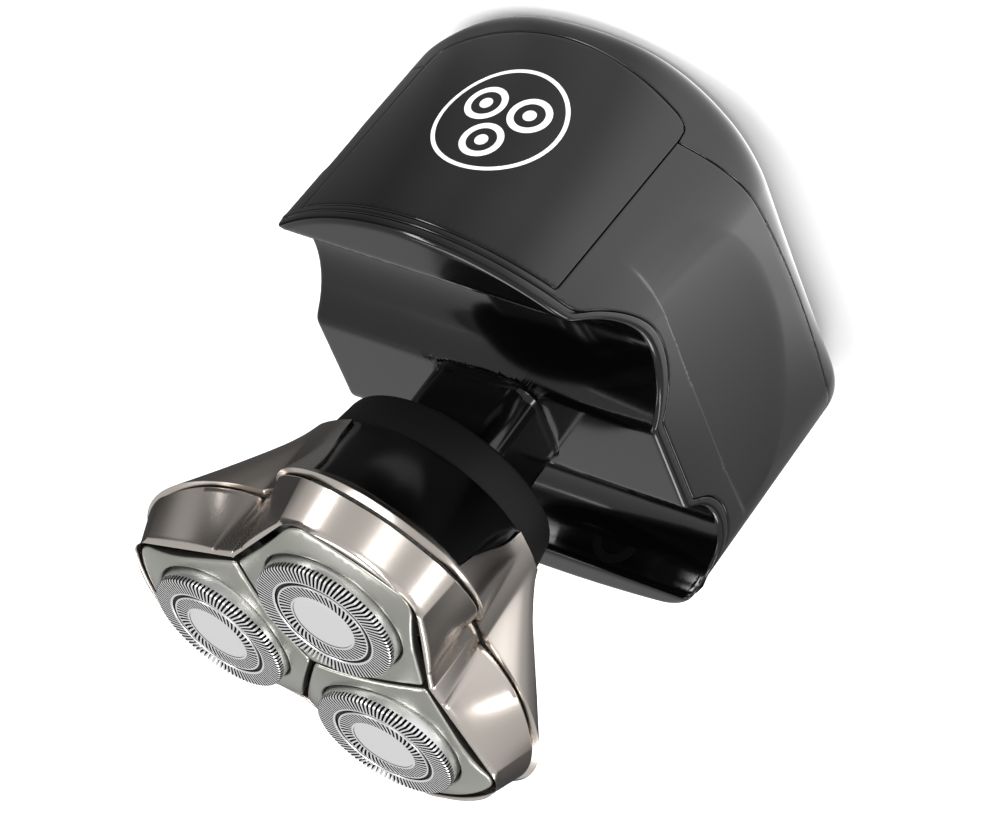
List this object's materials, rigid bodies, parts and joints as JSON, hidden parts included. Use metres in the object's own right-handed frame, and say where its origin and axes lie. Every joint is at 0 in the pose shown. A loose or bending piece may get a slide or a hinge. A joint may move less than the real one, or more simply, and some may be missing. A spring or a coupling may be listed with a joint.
{
  "type": "electric shaver",
  "caption": "Palm-held electric shaver: a hollow black grip with finger channels, a neck, and a plated lobed head with tilting rotary cutters.",
  "frame": {"origin": "middle of the flat land under the palm cover, which the shaver rests on", "axes": "+Z from the palm cover through the neck to the cutters, -Y towards the front panel, +X along the first lobe of the head"},
  "size_m": [0.0718, 0.0817, 0.1016],
  "materials": {
    "gloss_black": "polished piano-black plastic",
    "panel_black": "polished deep-black plastic",
    "smoked_lens": "smoked translucent plastic",
    "seal_rubber": "soft black rubber",
    "matte_black": "fine matte black plastic",
    "bearing_plastic": "grey acetal plastic",
    "motor_steel": "drawn steel can",
    "screw_steel": "plated steel",
    "cell_wrap": "shrink-wrapped cell sleeve",
    "board_green": "solder-masked board",
    "button_grey": "polished dark grey plastic",
    "collar_grey": "satin dark grey plastic",
    "shell_nickel": "satin warm nickel plating",
    "plate_nickel": "satin nickel plating, slightly darker",
    "foil_steel": "polished steel with a satin centre",
    "cutter_steel": "ground steel",
    "gear_plastic": "natural acetal plastic"
  },
  "bodies": {
    "handle": {"palm_cover": "gloss_black", "grip_housing": "gloss_black", "finger_plate": "gloss_black", "front_panel": "panel_black", "indicator_lens": "smoked_lens", "housing_gasket": "seal_rubber", "dc_socket": "matte_black", "neck": "gloss_black", "neck_bush": "bearing_plastic", "neck_seal": "seal_rubber", "drive_motor": "motor_steel", "motor_bracket": "bearing_plastic", "bracket_screws": "screw_steel", "battery_cell_left": "cell_wrap", "battery_cell_right": "cell_wrap", "circuit_board": "board_green", "button_switch": "matte_black"},
    "power_button": {"power_button": "button_grey"},
    "drive_shaft": {"drive_shaft": "screw_steel"},
    "head": {"head_collar": "collar_grey", "head_shell": "shell_nickel", "shell_insert_1": "gloss_black", "shell_insert_2": "gloss_black", "shell_insert_3": "gloss_black", "gear_plate": "bearing_plastic", "gear_cover": "bearing_plastic", "gearbox_posts": "screw_steel"},
    "center_gear": {"center_gear": "gear_plastic"},
    "blade_frame": {"blade_frame": "shell_nickel", "plate_carrier": "matte_black"},
    "spindle_1": {"spindle_gear_1": "gear_plastic", "spindle_1": "gear_plastic"},
    "cutter_plate_1": {"cutter_plate_1": "plate_nickel", "foil_cap_1": "foil_steel"},
    "cutter_1": {"cutter_1": "cutter_steel"},
    "spindle_2": {"spindle_gear_2": "gear_plastic", "spindle_2": "gear_plastic"},
    "cutter_plate_2": {"cutter_plate_2": "plate_nickel", "foil_cap_2": "foil_steel"},
    "cutter_2": {"cutter_2": "cutter_steel"},
    "spindle_3": {"spindle_gear_3": "gear_plastic", "spindle_3": "gear_plastic"},
    "cutter_plate_3": {"cutter_plate_3": "plate_nickel", "foil_cap_3": "foil_steel"},
    "cutter_3": {"cutter_3": "cutter_steel"}
  },
  "joints": [
    {"name": "power_press", "type": "slide", "parent": "handle", "child": "power_button", "axis": [0, 0, 1], "range_m": [0, 0.001], "stiffness_N_per_m": 500, "springref_m": -0.002},
    {"name": "head_pull_off", "type": "slide", "parent": "handle", "child": "head", "axis": [0, 0, 1], "range_m": [0, 0.02]},
    {"name": "motor_spin", "type": "hinge", "parent": "handle", "child": "drive_shaft", "pos_m": [0, 0, 0.05], "axis": [0, 0, 1], "continuous": true},
    {"name": "center_gear_spin", "type": "hinge", "parent": "head", "child": "center_gear", "pos_m": [0, 0, 0.08], "axis": [0, 0, 1], "continuous": true},
    {"name": "blade_frame_lift", "type": "slide", "parent": "head", "child": "blade_frame", "axis": [0, 0, 1], "range_m": [0, 0.015]},
    {"name": "spindle_1_spin", "type": "hinge", "parent": "head", "child": "spindle_1", "pos_m": [0.0179, 0, 0.084], "axis": [0, 0, 1], "continuous": true},
    {"name": "plate_1_tilt", "type": "hinge", "parent": "blade_frame", "child": "cutter_plate_1", "pos_m": [0.0179, 0, 0.0955], "axis": [0, 1, 0], "range_deg": [-3, 3], "stiffness_Nm_per_rad": 0.05},
    {"name": "cutter_1_spin", "type": "hinge", "parent": "cutter_plate_1", "child": "cutter_1", "pos_m": [0.0179, 0, 0.101], "axis": [0.0523, 0, 0.9986], "continuous": true},
    {"name": "spindle_2_spin", "type": "hinge", "parent": "head", "child": "spindle_2", "pos_m": [-0.00895, 0.0155, 0.084], "axis": [0, 0, 1], "continuous": true},
    {"name": "plate_2_tilt", "type": "hinge", "parent": "blade_frame", "child": "cutter_plate_2", "pos_m": [-0.00895, 0.0155, 0.0955], "axis": [-0.866, -0.5, 0], "range_deg": [-3, 3], "stiffness_Nm_per_rad": 0.05},
    {"name": "cutter_2_spin", "type": "hinge", "parent": "cutter_plate_2", "child": "cutter_2", "pos_m": [-0.00895, 0.0155, 0.101], "axis": [-0.0262, 0.0453, 0.9986], "continuous": true},
    {"name": "spindle_3_spin", "type": "hinge", "parent": "head", "child": "spindle_3", "pos_m": [-0.00895, -0.0155, 0.084], "axis": [0, 0, 1], "continuous": true},
    {"name": "plate_3_tilt", "type": "hinge", "parent": "blade_frame", "child": "cutter_plate_3", "pos_m": [-0.00895, -0.0155, 0.0955], "axis": [0.866, -0.5, 0], "range_deg": [-3, 3], "stiffness_Nm_per_rad": 0.05},
    {"name": "cutter_3_spin", "type": "hinge", "parent": "cutter_plate_3", "child": "cutter_3", "pos_m": [-0.00895, -0.0155, 0.101], "axis": [-0.0262, -0.0453, 0.9986], "continuous": true}
  ],
  "couplings": [
    {"joint": "motor_spin", "follows": "cutter_1_spin", "ratio": -1.6667},
    {"joint": "center_gear_spin", "follows": "cutter_1_spin", "ratio": -1.6667},
    {"joint": "spindle_1_spin", "follows": "cutter_1_spin", "ratio": 1},
    {"joint": "spindle_2_spin", "follows": "cutter_1_spin", "ratio": 1},
    {"joint": "cutter_2_spin", "follows": "cutter_1_spin", "ratio": 1},
    {"joint": "spindle_3_spin", "follows": "cutter_1_spin", "ratio": 1},
    {"joint": "cutter_3_spin", "follows": "cutter_1_spin", "ratio": 1}
  ]
}
